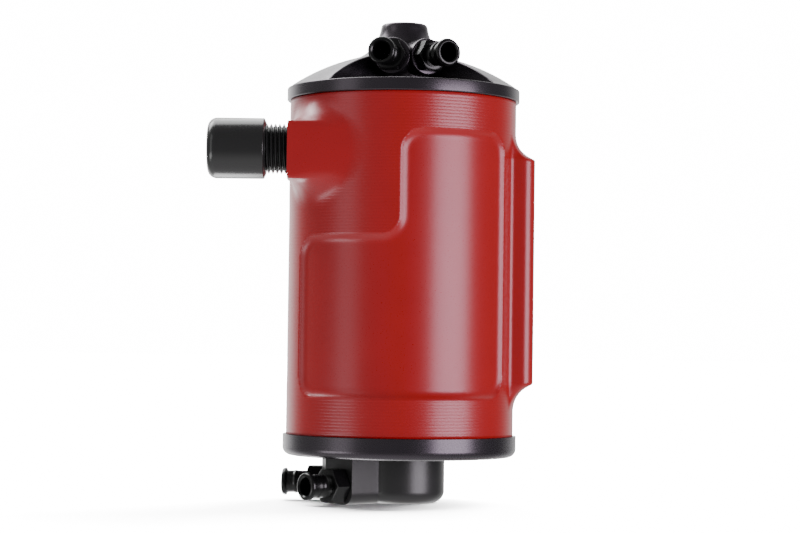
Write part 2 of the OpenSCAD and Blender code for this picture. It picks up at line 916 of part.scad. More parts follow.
module baffle_posts() {
    color(steel)
        at_posts()
            translate([0, 0, floor_z])
                difference() {
                    cylinder(h = post_h, d = post_d);
                    translate([0, 0, -1])
                        cylinder(h = post_h + 2, d = baffle_screw_d + 2 * hole_gap);
                }
}

module baffle_screws() {
    color(steel)
        at_posts()
            translate([0, 0, baffle_z + plate_t])
                cap_screw(baffle_screw_d, plate_t + post_h + screw_bite - hole_gap,
                          baffle_screw_head_d, baffle_screw_head_h);
}

// A hose nipple along +Z: its hexagon starts at z = 0 and its thread lies below
module nipple(hex_af, hex_len, tube_len, thread_d, thread_len) {
    tip = hex_len + tube_len;
    tube_r = tube_d / 2;
    bead_r = bead_d / 2;
    ridge_r = ridge_d / 2;
    bead_back = tip - bead_len;
    ridge_back = tip - ridge_from_tip;
    ridge_top = ridge_back + ridge_slope;
    color(black)
        difference() {
            union() {
                translate([0, 0, -thread_len])
                    cylinder(h = thread_len + eps, d = thread_d);
                cylinder(h = hex_len, d = hex_af / cos(30), $fn = 6);
                rotate_extrude()
                    polygon([[0, 0], [tube_r, 0], [tube_r, ridge_back], [ridge_r, ridge_top],
                             [ridge_r, ridge_top + ridge_land], [tube_r, ridge_back + ridge_len],
                             [tube_r, bead_back], [bead_r, bead_back + bead_slope],
                             [bead_r, tip - tip_round], [bead_r - tip_round, tip], [0, tip]]);
            }
            translate([0, 0, -thread_len - 1])
                cylinder(h = tip + thread_len + 2, d = nipple_bore_d);
        }
}

// Places a nipple in a port, with a flat of its hexagon on top
module in_port(a, z, from) {
    translate([0, 0, z])
        rotate([0, 90, a])
            translate([0, 0, from])
                rotate([0, 0, 30])
                    children();
}

module top_nipple(a) {
    in_port(a, top_port_z, top_face)
        nipple(top_hex_af, top_hex_len, top_tube_len, top_thread_d, port_depth - hole_gap);
}

module left_top_nipple() {
    top_nipple(left_top_a);
}

module right_top_nipple() {
    top_nipple(right_top_a);
}

module drain_nipple(a) {
    in_port(a, drain_up, drain_face)
        nipple(drain_hex_af, drain_hex_len, drain_tube_len, drain_thread_d,
               port_depth - hole_gap);
}

module front_drain_nipple() {
    drain_nipple(front_drain_a);
}

module rear_drain_nipple() {
    drain_nipple(rear_drain_a);
}

// The O-ring under a nipple's hexagon
module nipple_seal(a, z, from, thread_d) {
    color(rubber)
        in_port(a, z, from - nipple_section / 2 - seal_gap / 2)
            rotate_extrude()
                translate([(thread_d + nipple_section) / 2 + seal_gap, 0])
                    circle(d = nipple_section, $fn = 32);
}

module top_nipple_seals() {
    for (a = [left_top_a, right_top_a])
        nipple_seal(a, top_port_z, top_face, top_thread_d);
}

module drain_nipple_seals() {
    for (a = [front_drain_a, rear_drain_a])
        nipple_seal(a, drain_up, drain_face, drain_thread_d);
}

// The plug as one turned piece: head, rounded outer end, chamfer and thread
module side_plug() {
    head_z = boss_reach + plug_gap;
    tip_z = head_z + plug_head_l;
    plug_r = plug_d / 2;
    color(black)
        at_port()
            rotate_extrude() {
                translate([0, boss_reach - plug_engaged])
                    square([port_thread_d / 2, plug_engaged + plug_gap + eps]);
                polygon([[0, head_z], [plug_r - plug_chamfer, head_z],
                         [plug_r, head_z + plug_chamfer_l], [plug_r, tip_z - plug_edge],
                         [plug_r - plug_edge, tip_z - plug_edge], [plug_r - plug_edge, tip_z],
                         [0, tip_z]]);
                intersection() {
                    translate([plug_r - plug_edge, tip_z - plug_edge])
                        circle(r = plug_edge);
                    translate([0, head_z])
                        square([plug_r, plug_head_l]);
                }
            }
}

body();
lid();
base_plate();
sump_cup();
lid_seal();
base_seal();
sump_seal();
sump_screws();
outlet_tube();
upper_mesh_plate();
mesh_pack();
lower_mesh_plate();
stack_nut();
drain_baffle();
baffle_posts();
baffle_screws();
left_top_nipple();
right_top_nipple();
top_nipple_seals();
front_drain_nipple();
rear_drain_nipple();
drain_nipple_seals();
side_plug();
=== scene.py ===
import json
import math

import bmesh
import bpy
import numpy as np
from mathutils import Matrix, Vector


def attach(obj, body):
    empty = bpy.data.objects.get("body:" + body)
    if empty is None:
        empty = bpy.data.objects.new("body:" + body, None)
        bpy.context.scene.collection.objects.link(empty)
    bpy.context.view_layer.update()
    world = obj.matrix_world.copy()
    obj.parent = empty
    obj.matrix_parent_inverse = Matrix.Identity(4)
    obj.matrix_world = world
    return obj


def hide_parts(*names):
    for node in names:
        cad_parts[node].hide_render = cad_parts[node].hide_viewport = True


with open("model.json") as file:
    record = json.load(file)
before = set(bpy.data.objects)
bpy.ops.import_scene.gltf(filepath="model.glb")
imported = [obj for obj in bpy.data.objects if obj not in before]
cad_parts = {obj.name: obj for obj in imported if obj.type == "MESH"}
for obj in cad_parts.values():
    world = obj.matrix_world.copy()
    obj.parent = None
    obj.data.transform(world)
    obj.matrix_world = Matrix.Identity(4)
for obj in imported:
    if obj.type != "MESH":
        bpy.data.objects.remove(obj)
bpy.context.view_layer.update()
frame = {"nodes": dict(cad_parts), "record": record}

MM = 0.001
scene = bpy.context.scene


# ---------------------------------------------------------------- camera
WIDTH = 800.0               # of the frame, in pixels
SENSOR = 36.0               # width of the sensor in millimetres
PIXELS = 2212.0             # focal length in pixels
HORIZON_ROW, MIDDLE_ROW = 346.0, 266.5
DISTANCE = 0.970            # from the can's axis, in metres
HORIZON = 0.068             # height of the camera in metres
ASIDE = -0.0006             # metres to the right of the can's axis
PITCH = math.atan((HORIZON_ROW - MIDDLE_ROW) / PIXELS)
ROLL = math.radians(0.75)


def make_camera():
    data = bpy.data.cameras.new("camera")
    data.sensor_width = SENSOR
    data.lens = SENSOR * PIXELS / WIDTH
    data.clip_start = 0.01
    data.clip_end = 50.0
    cam = bpy.data.objects.new("camera", data)
    scene.collection.objects.link(cam)
    turn = Matrix.Rotation(math.pi / 2 + PITCH, 4, "X") @ Matrix.Rotation(ROLL, 4, "Z")
    cam.matrix_world = Matrix.Translation((ASIDE, -DISTANCE, HORIZON)) @ turn
    scene.camera = cam


make_camera()


# ---------------------------------------------------------------- materials
FINE_BUMP = 0.00004         # depth in metres of the finest grain
TOOL_STEP = 0.00135         # metres between the milling lines on the can


def new_material(name):
    mat = bpy.data.materials.new(name)
    mat.use_nodes = True
    tree = mat.node_tree
    return mat, tree.nodes, tree.links, tree.nodes["Principled BSDF"]


def scaled_coords(nodes, links, scale=(1.0, 1.0, 1.0)):
    where = nodes.new("ShaderNodeTexCoord")
    mapping = nodes.new("ShaderNodeMapping")
    mapping.inputs["Scale"].default_value = scale
    links.new(where.outputs["Object"], mapping.inputs["Vector"])
    return mapping.outputs["Vector"]


def noise(nodes, links, vector, scale, detail=3.0, rough=0.55):
    node = nodes.new("ShaderNodeTexNoise")
    node.inputs["Scale"].default_value = scale
    node.inputs["Detail"].default_value = detail
    node.inputs["Roughness"].default_value = rough
    links.new(vector, node.inputs["Vector"])
    return node.outputs["Fac"]


def remap(nodes, links, value, low, high, from_low=0.3, from_high=0.7):
    node = nodes.new("ShaderNodeMapRange")
    node.inputs["From Min"].default_value = from_low
    node.inputs["From Max"].default_value = from_high
    node.inputs["To Min"].default_value = low
    node.inputs["To Max"].default_value = high
    links.new(value, node.inputs["Value"])
    return node.outputs["Result"]


def calc(nodes, links, op, *values):
    """One step of arithmetic on sockets and numbers."""
    node = nodes.new("ShaderNodeMath")
    node.operation = op
    for i, v in enumerate(values):
        if isinstance(v, (int, float)):
            node.inputs[i].default_value = v
        else:
            links.new(v, node.inputs[i])
    return node.outputs["Value"]


def mix_colour(nodes, links, fac, a, b):
    node = nodes.new("ShaderNodeMix")
    node.data_type = "RGBA"
    links.new(fac, node.inputs["Factor"])
    node.inputs["A"].default_value = (*a, 1.0)
    node.inputs["B"].default_value = (*b, 1.0)
    return node.outputs["Result"]


def bump(nodes, links, height, strength, distance, normal=None):
    node = nodes.new("ShaderNodeBump")
    node.inputs["Strength"].default_value = strength
    node.inputs["Distance"].default_value = distance
    links.new(height, node.inputs["Height"])
    if normal is not None:
        links.new(normal, node.inputs["Normal"])
    return node.outputs["Normal"]


def anodised(name, dark, light, rough, ior, grain, tint=(1.0, 1.0, 1.0)):
    """Dyed oxide on aluminium: colour from the dye, gloss from the clear layer."""
    mat, nodes, links, shader = new_material(name)
    vec = scaled_coords(nodes, links)
    cloud = noise(nodes, links, vec, 60.0)
    fine = noise(nodes, links, vec, 2600.0, 2.0)
    links.new(mix_colour(nodes, links, cloud, dark, light), shader.inputs["Base Color"])
    links.new(remap(nodes, links, fine, rough - 0.04, rough + 0.04), shader.inputs["Roughness"])
    shader.inputs["IOR"].default_value = ior
    shader.inputs["Specular Tint"].default_value = (*tint, 1.0)
    links.new(bump(nodes, links, fine, grain, FINE_BUMP), shader.inputs["Normal"])
    return mat, nodes, links, shader, fine


def red_body():
    """Red dye, with the milling lines that show only where the can keeps its full radius."""
    grain = 0.10
    mat, nodes, links, shader, fine = anodised(
        "red_body", (0.31, 0.0053, 0.0056), (0.36, 0.0070, 0.0075), 0.31, 1.52, grain, PINK)
    where = nodes.new("ShaderNodeTexCoord")
    split = nodes.new("ShaderNodeSeparateXYZ")
    links.new(where.outputs["Object"], split.inputs[0])
    x2 = calc(nodes, links, "MULTIPLY", split.outputs["X"], split.outputs["X"])
    y2 = calc(nodes, links, "MULTIPLY", split.outputs["Y"], split.outputs["Y"])
    radius = calc(nodes, links, "SQRT", calc(nodes, links, "ADD", x2, y2))
    outside = calc(nodes, links, "MULTIPLY", remap(nodes, links, radius, 0.0, 1.0, 0.0490, 0.0494),
                   remap(nodes, links, radius, 1.0, 0.0, 0.0497, 0.0500))
    phase = calc(nodes, links, "MULTIPLY", split.outputs["Z"], 2.0 * math.pi / TOOL_STEP)
    half = calc(nodes, links, "MULTIPLY", phase, 0.5)
    wave = calc(nodes, links, "ABSOLUTE", calc(nodes, links, "SINE", half))
    marks = calc(nodes, links, "MULTIPLY", wave, outside)
    first = bump(nodes, links, marks, 0.8, 0.00005)
    second = bump(nodes, links, fine, grain, FINE_BUMP, first)
    links.new(second, shader.inputs["Normal"])
    return mat


def rubber():
    """Dull black rubber, lighter in specks."""
    mat, nodes, links, shader = new_material("seal_rubber")
    vec = scaled_coords(nodes, links)
    cloud = noise(nodes, links, vec, 900.0)
    links.new(mix_colour(nodes, links, cloud, (0.012, 0.012, 0.012), (0.03, 0.03, 0.03)),
              shader.inputs["Base Color"])
    links.new(remap(nodes, links, cloud, 0.55, 0.75), shader.inputs["Roughness"])
    links.new(bump(nodes, links, cloud, 0.2, 0.00005), shader.inputs["Normal"])
    return mat


def bare_metal(name, dark, light, rough):
    """Bare turned metal with streaks round its axis."""
    mat, nodes, links, shader = new_material(name)
    vec = scaled_coords(nodes, links, (1.0, 1.0, 6.0))
    streak = noise(nodes, links, vec, 900.0, 4.0)
    links.new(mix_colour(nodes, links, streak, dark, light), shader.inputs["Base Color"])
    links.new(remap(nodes, links, streak, rough - 0.08, rough + 0.08), shader.inputs["Roughness"])
    shader.inputs["Metallic"].default_value = 1.0
    links.new(bump(nodes, links, streak, 0.15, FINE_BUMP), shader.inputs["Normal"])
    return mat


def knitted():
    """Knitted mesh: bright wires round dark cells, the dark cells being painted shade in the
    openings between the wires.
    """
    mat, nodes, links, shader = new_material("knitted_mesh")
    vec = scaled_coords(nodes, links)
    cells = nodes.new("ShaderNodeTexVoronoi")
    cells.feature = "DISTANCE_TO_EDGE"
    cells.inputs["Scale"].default_value = 700.0
    links.new(vec, cells.inputs["Vector"])
    wire_vs_gap_shade = remap(nodes, links, cells.outputs["Distance"], 1.0, 0.0, 0.02, 0.12)
    # the near black in the cells is painted shade in the openings of the mesh, the light colour is
    # the wires
    links.new(mix_colour(nodes, links, wire_vs_gap_shade, (0.03, 0.028, 0.025), (0.6, 0.57, 0.5)),
              shader.inputs["Base Color"])
    shader.inputs["Metallic"].default_value = 1.0
    links.new(remap(nodes, links, wire_vs_gap_shade, 0.7, 0.35, 0.0, 1.0), shader.inputs["Roughness"])
    links.new(bump(nodes, links, wire_vs_gap_shade, 0.8, 0.0005), shader.inputs["Normal"])
    return mat


LILAC = (1.0, 0.86, 1.0)
PINK = (1.0, 0.90, 1.0)
RED = red_body()
BLACK = anodised("black_end_pieces", (0.0075, 0.0070, 0.0085), (0.011, 0.010, 0.012),
                 0.28, 1.6, 0.05, LILAC)[0]
CUP_BLACK = anodised("black_cup", (0.016, 0.0156, 0.016), (0.020, 0.0196, 0.020),
                     0.34, 1.5, 0.12)[0]
NIPPLE_BLACK = anodised("gloss_black", (0.0030, 0.0030, 0.0032), (0.005, 0.005, 0.0052),
                        0.24, 1.4, 0.04)[0]
PLUG_BLACK = anodised("black_plug", (0.013, 0.013, 0.013), (0.017, 0.017, 0.017),
                      0.22, 1.5, 0.08)[0]
RUBBER = rubber()
STEEL = bare_metal("bare_steel", (0.45, 0.45, 0.46), (0.62, 0.62, 0.63), 0.34)
ALUMINIUM = bare_metal("bare_aluminium", (0.60, 0.60, 0.61), (0.75, 0.75, 0.76), 0.36)
KNITTED = knitted()

BY_SLOT = {
    "red_anodised": RED,
    "black_anodised": BLACK,
    "black_nipple": NIPPLE_BLACK,
    "black_plug": PLUG_BLACK,
    "seal_rubber": RUBBER,
    "bare_steel": STEEL,
    "bare_aluminium": ALUMINIUM,
    "knitted_mesh": KNITTED,
}


def dress(obj, mat):
    """Gives a whole object one material."""
    slots = obj.data.materials
    if len(slots) == 0:
        slots.append(mat)
    for i in range(len(slots)):
        slots[i] = mat


for part in frame["record"]["subparts"]:
    dress(frame["nodes"][part["node"]], BY_SLOT[part["material_slot"]])
dress(frame["nodes"]["sump_cup"], CUP_BLACK)


# ---------------------------------------------------------------- mesh helpers
def make_piece(name, verts, faces, mat, angle=35.0):
    """A mesh piece from points in millimetres."""
    mesh = bpy.data.meshes.new(name)
    mesh.from_pydata([(x * MM, y * MM, z * MM) for x, y, z in verts], [], faces)
    mesh.materials.append(mat)
    obj = bpy.data.objects.new(name, mesh)
    scene.collection.objects.link(obj)
    smooth_by_angle(obj, angle)
    return obj


def smooth_by_angle(obj, angle):
    mesh = obj.data
    mesh.validate()
    mesh.update()
    mesh.shade_smooth()
    mesh.set_sharp_from_angle(angle=math.radians(angle))


def face_outwards(obj):
    bm = bmesh.new()
    bm.from_mesh(obj.data)
    bmesh.ops.recalc_face_normals(bm, faces=bm.faces)
    bm.to_mesh(obj.data)
    bm.free()


def stand_for(obj, node, body="can"):
    """Lets a piece ride on its body in place of the node of the same slot."""
    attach(obj, body)
    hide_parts(node)
    return obj


def cut_away(obj, cutters, operation="DIFFERENCE"):
    """Applies boolean steps, one for each cutter, and removes the cutters."""
    for cutter in cutters:
        mod = obj.modifiers.new("cut", "BOOLEAN")
        mod.operation = operation
        mod.solver = "EXACT"
        mod.object = cutter
        deps = bpy.context.evaluated_depsgraph_get()
        made = bpy.data.meshes.new_from_object(obj.evaluated_get(deps))
        obj.modifiers.clear()
        old = obj.data
        obj.data = made
        bpy.data.meshes.remove(old)
        old = cutter.data
        bpy.data.objects.remove(cutter)
        bpy.data.meshes.remove(old)


def lathe_mesh(profile, steps=96, closed=False):
    """Turns (radius, height) points about Z. Returns points and faces; radius 0 makes a pole."""
    verts, faces, rings = [], [], []
    for r, z in profile:
        if r < 1e-9:
            verts.append((0.0, 0.0, z))
            rings.append([len(verts) - 1] * steps)
        else:
            start = len(verts)
            for i in range(steps):
                a = 2 * math.pi * i / steps
                verts.append((r * math.cos(a), r * math.sin(a), z))
            rings.append(list(range(start, start + steps)))
    pairs = list(zip(rings, rings[1:] + rings[:1])) if closed else list(zip(rings, rings[1:]))
    for low, high in pairs:
        for i in range(steps):
            j = (i + 1) % steps
            face = []
            for v in (low[i], low[j], high[j], high[i]):
                if v not in face:
                    face.append(v)
            if len(face) > 2:
                faces.append(face)
    return verts, faces


def place(points, matrix):
    return [tuple(matrix @ Vector(p)) for p in points]


def along(azimuth, height, start):
    """Local Z runs outwards along a horizontal direction, given as an angle from +X."""
    a = math.radians(azimuth)
    out = Vector((math.cos(a), math.sin(a), 0))
    side = Vector((-math.sin(a), math.cos(a), 0))
    up = Vector((0, 0, 1))
    basis = Matrix((side, up, out)).transposed().to_4x4()
    return Matrix.Translation(out * start + Vector((0, 0, height))) @ basis


def rounded(points, steps=5):
    """A profile of (x, y, radius) corners, with each corner rounded by its radius."""
    out = []
    n = len(points)
    for i, (x, y, r) in enumerate(points):
        if r <= 0 or i in (0, n - 1):
            out.append((x, y))
            continue
        p = Vector((x, y))
        a = Vector(points[i - 1][:2]) - p
        b = Vector(points[i + 1][:2]) - p
        turn = a.angle(b)
        back = r / math.tan(turn / 2)
        a.normalize()
        b.normalize()
        centre = p + (a + b).normalized() * (r / math.sin(turn / 2))
        one = p + a * back - centre
        two = p + b * back - centre
        sweep = one.angle_signed(two)
        for k in range(steps + 1):
            t = -sweep * k / steps
            c, s = math.cos(t), math.sin(t)
            out.append((centre.x + c * one.x - s * one.y, centre.y + s * one.x + c * one.y))
    return out


# ---------------------------------------------------------------- can body
# lengths in millimetres; angles round the can in degrees right of the front
BODY_R, BORE_R = 49.6, 44.5
LOW_Z, HIGH_Z = 29.3, 175.0
END_BREAK = 0.35            # bevel on both ends of the can
END_THREAD_R, END_THREAD = 46.0, 12.0

# the shallow pockets: depth, radius along their floors, corners, sides and heights
POCKET, FLOOR_FILLET = 1.8, 6.0
CORNER, INNER_CORNER = 10.0, 8.0
FRONT_LEFT, FRONT_STEP, FRONT_RIGHT = -61, -1, 61.7
REAR_LEFT, REAR_RIGHT = -158, -84
POCKET_LOW, STEP_Z, FRONT_HIGH, REAR_HIGH = 45.8, 114.8, 159.5, 136.4

# the boss: its port, its face and the plane that takes it down towards the front
PORT_Z, PORT_Y, FACE_X, BOSS_R = 151.4, 28.8, 48.9, 12.2
BOSS_Z = PORT_Z - 1.1
BOSS_FILLET = 13.0
RAMP_A, RAMP_B = (-48.9, -41.1), (-19.7, -45.5)
RAMP_CROWN = 1.0            # fall of that plane towards the boss's edges
RAMP_LINE = -50.2           # where the face meets it, at mid height
SHARP_TURN, SOFT_TURN, EDGE_SOFT = 0.98, 0.72, 3.5
FADE_HEIGHT = 4.0           # the rounding of the edge fades out below this height
BOSS_SIDE = (0.2, 0.7, 1.6)  # radians left of the front: start, first of the face, end
BOSS_REACH = 24             # half the height that the boss and its fillet take up
PORT_R, PORT_MOUTH_R = 10.7, 11.5

# the mounting pad and its two holes
PAD_X, PAD_LOW, PAD_HIGH, PAD_FLAT, PAD_EDGE, PAD_BLEND = 57.5, 52.0, 149.4, 12.0, 5.2, 13.0
PAD_SOFT, PAD_FOOT = 1.2, 3.0
PAD_HOLES = (100.7 - 30, 100.7 + 30)
PAD_HOLE_R, PAD_HOLE_DEEP, PAD_HOLE_BEVEL = 2.5, 10, 0.5

SNAP = 0.42                 # grid points this close to a pocket's outline move onto it


def arc_outline(points, steps=24):
    """A closed outline of (x, y, radius) corners."""
    ring = [points[-1]] + list(points) + [points[0]]
    out = []
    for i in range(1, len(ring) - 1):
        out += rounded(ring[i - 1:i + 2], steps)[1:-1]
    return np.array(out)


def on_can(f):
    """Length along the can's surface from the front to an angle in degrees."""
    return BODY_R * math.radians(f)


FRONT = arc_outline([
    (on_can(FRONT_LEFT), POCKET_LOW, CORNER), (on_can(FRONT_RIGHT), POCKET_LOW, CORNER),
    (on_can(FRONT_RIGHT), FRONT_HIGH, CORNER), (on_can(FRONT_STEP), FRONT_HIGH, CORNER),
    (on_can(FRONT_STEP), STEP_Z, INNER_CORNER), (on_can(FRONT_LEFT), STEP_Z, CORNER)])
REAR = arc_outline([
    (on_can(REAR_LEFT), POCKET_LOW, CORNER), (on_can(REAR_RIGHT), POCKET_LOW, CORNER),
    (on_can(REAR_RIGHT), REAR_HIGH, CORNER), (on_can(REAR_LEFT), REAR_HIGH, CORNER)])


def inside_distance(outline, u, v):
    """Distance inside an outline (negative outside) and the nearest point on it."""
    best = np.full(u.shape, 1e9)
    near_u, near_v = np.zeros_like(u), np.zeros_like(v)
    inside = np.zeros(u.shape, bool)
    for (ax, ay), (bx, by) in zip(outline, np.roll(outline, -1, axis=0)):
        dx, dy = bx - ax, by - ay
        length = dx * dx + dy * dy
        if length < 1e-12:
            continue
        t = np.clip(((u - ax) * dx + (v - ay) * dy) / length, 0, 1)
        px, py = ax + t * dx, ay + t * dy
        d = (u - px) ** 2 + (v - py) ** 2
        closer = d < best
        best = np.where(closer, d, best)
        near_u = np.where(closer, px, near_u)
        near_v = np.where(closer, py, near_v)
        if abs(dy) > 1e-12:
            crosses = ((ay > v) != (by > v)) & (u < ax + (v - ay) * dx / dy)
            inside ^= crosses
    return np.where(inside, 1, -1) * np.sqrt(best), near_u, near_v


def pocket_depth(d):
    """Depth at a distance inside an outline: a round rise from the floor to a sharp edge."""
    run = math.sqrt(FLOOR_FILLET ** 2 - (FLOOR_FILLET - POCKET) ** 2)
    t = np.clip(run - d, 0, run)
    depth = POCKET - (FLOOR_FILLET - np.sqrt(FLOOR_FILLET ** 2 - t ** 2))
    return np.where(d <= 0, 0.0, depth)


def soft_floor(h, k=1.0):
    """Heights above zero, with a soft turn of half width k where they leave it."""
    return np.maximum(h, 0) + np.maximum(k - np.abs(h), 0) ** 2 / (4 * k)


def face_height(turn):
    """Height of the boss's face plane above the can, by angle left of the front in radians."""
    return FACE_X / np.maximum(np.sin(turn), 0.05) - BODY_R


def ramp_height(turn, v):
    """Height of the sloping plane above the can."""
    ax, ay = RAMP_A
    dx, dy = RAMP_B[0] - ax, RAMP_B[1] - ay
    length = math.hypot(dx, dy)
    nx, ny = dy / length, -dx / length
    reach = nx * ax + ny * ay
    across = -nx * np.sin(turn) - ny * np.cos(turn)
    high = np.where(across > 0.05, reach / np.maximum(across, 0.05), 1e3) - BODY_R
    return high - RAMP_CROWN * np.clip(np.abs(v) / BOSS_R, 0, 1) ** 2


def fillet_height(d, high):
    """Height of the concave fillet at a distance from the boss's edge."""
    r = BOSS_FILLET
    run = np.sqrt(np.maximum(r * r - (r - np.clip(high, 0, r)) ** 2, 0))
    t = np.clip(run - np.maximum(d, 0), 0, r)
    return r - np.sqrt(r * r - t * t)


REAR_CENTRE = math.atan2(FACE_X, PORT_Y)
REAR_STEP = 53.3


def boss_height(turn, v):
    """Height of the boss and its fillet above the can, v above the middle of the boss."""
    s = np.maximum(turn - REAR_CENTRE, 0) * REAR_STEP
    rho = np.sqrt(s * s + v * v)
    d = np.where(turn < REAR_CENTRE, np.abs(v), rho) - BOSS_R
    share = np.where(rho > BOSS_R, BOSS_R / np.maximum(rho, 1e-6), 1.0)
    edge_turn = np.where(turn < REAR_CENTRE, turn, REAR_CENTRE + s * share / REAR_STEP)
    edge_v = np.clip(v, -BOSS_R, BOSS_R)
    ramp = ramp_height(edge_turn, edge_v)
    face = face_height(edge_turn)
    top = soft_floor(np.minimum(ramp, face))
    high = np.where(d <= 0, top, fillet_height(d, top))
    # the edge gets rounder where the boss runs out towards the front
    t = np.clip((SHARP_TURN - turn) / (SHARP_TURN - SOFT_TURN), 0, 1)
    soft = EDGE_SOFT * t * t * (3 - 2 * t)
    high = high - np.maximum(soft - np.abs(d), 0) ** 2 / (4 * np.maximum(soft, 1e-6)) \
        * np.clip(top / FADE_HEIGHT, 0, 1)
    start, face_from, stop = BOSS_SIDE
    high = np.where(turn < face_from, high, np.minimum(high, np.maximum(face_height(turn), 0)))
    return np.where((turn > start) & (turn < stop), high, 0.0)


def pad_plan():
    """Angles and radii of one half: face, rounded edge, flat side and foot on the can."""
    edge_x = PAD_X - PAD_EDGE
    side_y = PAD_FLAT + PAD_EDGE
    foot_y = side_y + PAD_FOOT
    foot_x = math.sqrt((BODY_R + PAD_FOOT) ** 2 - foot_y ** 2)
    pts = [(PAD_X, PAD_FLAT * i / 6) for i in range(7)]
    for i in range(1, 13):
        a = math.pi / 2 * i / 12
        pts.append((edge_x + PAD_EDGE * math.cos(a), PAD_FLAT + PAD_EDGE * math.sin(a)))
    pts += [(edge_x + (foot_x - edge_x) * i / 3, side_y) for i in range(1, 4)]
    stop = math.atan2(foot_y, foot_x) - math.pi / 2
    for i in range(1, 9):
        a = stop * i / 8
        pts.append((foot_x + PAD_FOOT * math.sin(a), foot_y - PAD_FOOT * math.cos(a)))
    return [math.atan2(y, x) for x, y in pts], [math.hypot(x, y) for x, y in pts]


PAD_ANGLES, PAD_RADII = pad_plan()


def pad_reach(alpha, z):
    """Radius of the pad's surface: its plan, sinking into the can at both ends."""
    plan = np.interp(np.abs(alpha), PAD_ANGLES, PAD_RADII, right=0.0)
    run = math.sqrt(PAD_BLEND ** 2 - (PAD_BLEND - (PAD_X - BODY_R)) ** 2)
    t = np.clip(run - np.maximum(PAD_LOW - z, z - PAD_HIGH), 0, PAD_BLEND)
    side = BODY_R + PAD_BLEND - np.sqrt(PAD_BLEND ** 2 - t ** 2)
    soft = np.maximum(PAD_SOFT - np.abs(side - PAD_X), 0)
    side = np.minimum(side, PAD_X) - soft ** 2 / (4 * PAD_SOFT)
    share = np.clip((side - BODY_R) / (PAD_X - BODY_R), 0, 1)
    return np.where(plan > BODY_R, BODY_R + (plan - BODY_R) * share, 0.0)


def body_radius(f, z):
    """Outer radius of the can at f radians right of the front and height z."""
    u = BODY_R * f
    depth = np.maximum(pocket_depth(inside_distance(FRONT, u, z)[0]),
                       pocket_depth(inside_distance(REAR, u, z)[0]))
    pad = pad_reach(f - math.pi / 2, z)
    return np.maximum(BODY_R - depth + boss_height(-f, z - BOSS_Z), pad)


def lines(low, high, step, exact, keep=0.4):
    """Grid lines at about one step, with some at exact places."""
    exact = sorted(e for e in exact if low <= e <= high)
    base = np.arange(low, high + step / 2, step)
    base = [b for b in base if all(abs(b - e) > keep * step for e in exact)]
    return sorted(set(base) | set(exact))


def body_grid():
    """Angles in radians and heights of the grid that the can's outside is drawn on."""
    near_edge = (0.0, 0.06, 0.3, 0.7, 1.3)
    pad = [math.degrees(a) for a in PAD_ANGLES[6:]]
    f_deg = lines(-180, 179.4, 0.9,
                  [REAR_LEFT, REAR_RIGHT, FRONT_LEFT, FRONT_STEP, FRONT_RIGHT, RAMP_LINE]
                  + [90 + s * a for s in (-1, 1) for a in pad])
    z_exact = [LOW_Z, LOW_Z + END_BREAK, POCKET_LOW, STEP_Z, REAR_HIGH, FRONT_HIGH,
               PAD_LOW, PAD_HIGH, HIGH_Z - END_BREAK, HIGH_Z]
    z_exact += [BOSS_Z + s * (BOSS_R + d) for s in (-1, 1) for d in near_edge]
    z_mm = (lines(LOW_Z, 39.9, 1.8, z_exact) + lines(40.0, 62.9, 0.85, z_exact)
            + lines(63.0, 102.9, 2.0, z_exact) + lines(103.0, HIGH_Z, 0.85, z_exact))
    return np.radians(np.array(f_deg)), np.array(sorted(set(round(v, 4) for v in z_mm)))


def snap_to_edges(f, z):
    """The grid, with points near a pocket's outline or the face's edge moved onto it."""
    ff, zz = np.meshgrid(f, z)
    snapped = np.zeros(ff.shape, bool)
    for outline in (FRONT, REAR):
        d, nu, nv = inside_distance(outline, BODY_R * ff, zz)
        near = np.abs(d) < SNAP
        ff = np.where(near, nu / BODY_R, ff)
        zz = np.where(near, nv, zz)
        snapped |= near
    turns = np.linspace(0.75, 1.45, 1401)
    for k in range(len(z)):
        v = z[k] - BOSS_Z
        if abs(v) > BOSS_REACH:
            continue
        loose = np.minimum(boss_height(turns, np.full_like(turns, v)), 1e3)
        on_face = loose >= face_height(turns) - 1e-6
        if not on_face.any():
            continue
        for edge in (turns[on_face.argmax()], turns[len(turns) - 1 - on_face[::-1].argmax()]):
            j = int(np.argmin(np.abs(f + edge)))
            if abs(f[j] + edge) < math.radians(0.5) and not snapped[k, j]:
                ff[k, j] = -edge
                snapped[k, j] = True
    return ff, zz, snapped


def body_mesh():
    f, z = body_grid()
    ff, zz, snapped = snap_to_edges(f, z)
    rr = body_radius(ff, zz)
    rr[0, :] -= END_BREAK
    rr[-1, :] -= END_BREAK
    n_z, n_f = rr.shape
    a = ff - math.pi / 2
    verts = list(zip((rr * np.cos(a)).ravel(), (rr * np.sin(a)).ravel(), zz.ravel()))
    faces = []
    for k in range(n_z - 1):
        for j in range(n_f):
            i = (j + 1) % n_f
            p, q = k * n_f + j, k * n_f + i
            r, s = q + n_f, p + n_f
            one = snapped[k, j] and snapped[k + 1, i]
            two = snapped[k, i] and snapped[k + 1, j]
            if one and not two:
                faces += [(p, q, r), (p, r, s)]
            elif two and not one:
                faces += [(p, q, s), (q, r, s)]
            else:
                faces.append((p, q, r, s))
    inner = [(END_THREAD_R, HIGH_Z), (END_THREAD_R, HIGH_Z - END_THREAD),
             (BORE_R, HIGH_Z - END_THREAD), (BORE_R, LOW_Z + END_THREAD),
             (END_THREAD_R, LOW_Z + END_THREAD), (END_THREAD_R, LOW_Z)]
    ring = (n_z - 1) * n_f
    for r, height in inner:
        start = len(verts)
        verts += [(r * math.cos(t), r * math.sin(t), height) for t in f - math.pi / 2]
        for j in range(n_f):
            i = (j + 1) % n_f
            faces.append((ring + j, ring + i, start + i, start + j))
        ring = start
    for j in range(n_f):
        i = (j + 1) % n_f
        faces.append((ring + j, ring + i, i, j))
    return verts, faces


